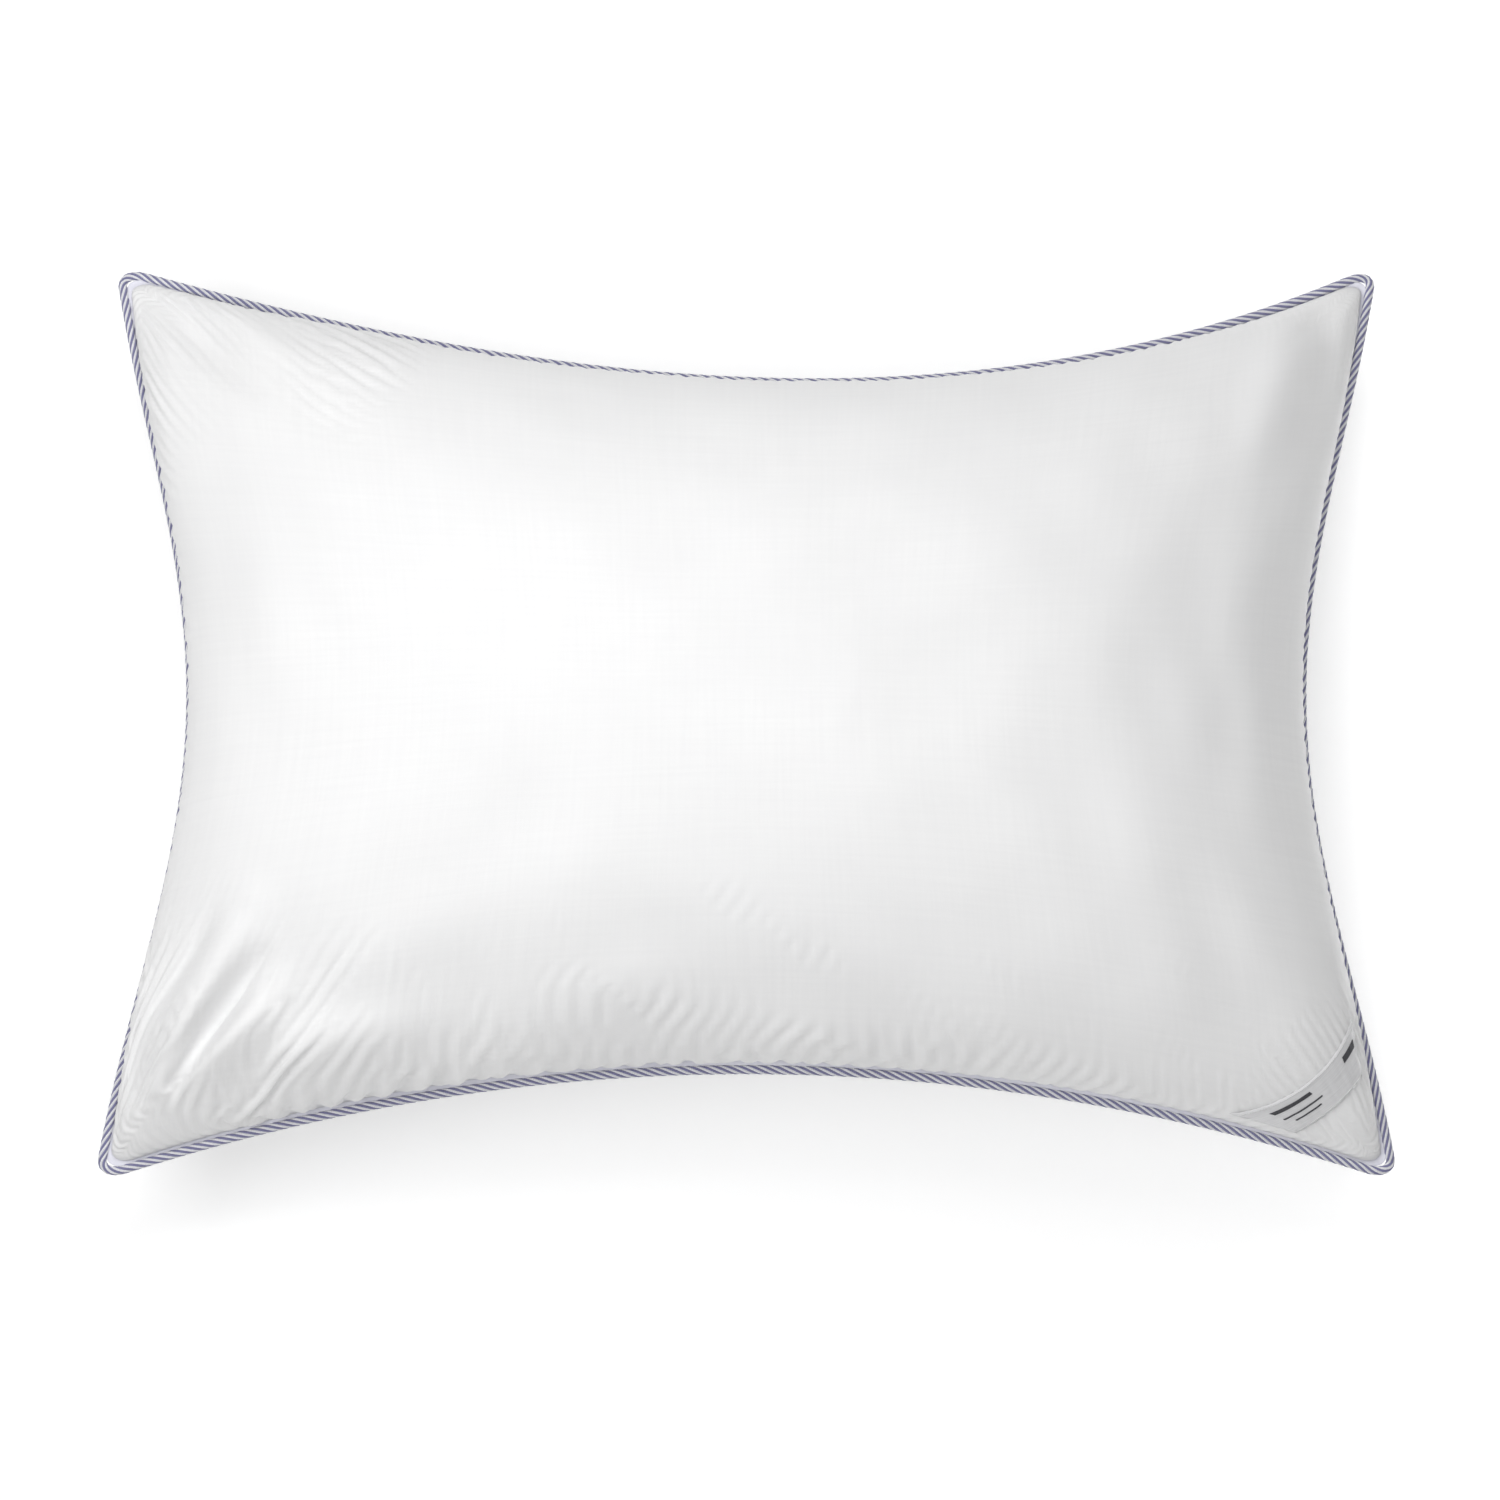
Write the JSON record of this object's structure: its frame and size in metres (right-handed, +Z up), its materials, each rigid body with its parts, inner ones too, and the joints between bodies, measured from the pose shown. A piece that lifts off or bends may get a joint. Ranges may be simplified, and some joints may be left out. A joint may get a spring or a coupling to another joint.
{
  "type": "bed pillow",
  "caption": "Bed pillow lying on its back: two cotton panels sewn around a soft fibre fill, a two-tone twisted cord in the seam, a satin corner label and a care label.",
  "frame": {"origin": "middle of the footprint, on the surface that the pillow lies on", "axes": "+X along the long side, +Y across the pillow, +Z up through the front panel's crown; the corner label is at +X -Y on the front"},
  "size_m": [0.7016, 0.5004, 0.2109],
  "materials": {
    "panel_cotton": "fine percale weave with a soft sheen",
    "fiber_fill": "loose white fibre",
    "tape_cotton": "plain cotton tape",
    "cord_blue": "twisted slate blue yarn",
    "cord_white": "twisted white yarn",
    "sewing_thread": "polyester thread",
    "label_satin": "satin",
    "label_print": "printed rule",
    "care_label_satin": "satin"
  },
  "bodies": {
    "root": {"front_panel": "panel_cotton", "back_panel": "panel_cotton", "fiber_fill": "fiber_fill", "piping_tape": "tape_cotton", "piping_cord": "cord_blue", "seam_needle_thread": "sewing_thread", "seam_bobbin_thread": "sewing_thread", "corner_label": "label_satin", "corner_label_thread": "sewing_thread", "care_label": "care_label_satin"}
  },
  "joints": []
}
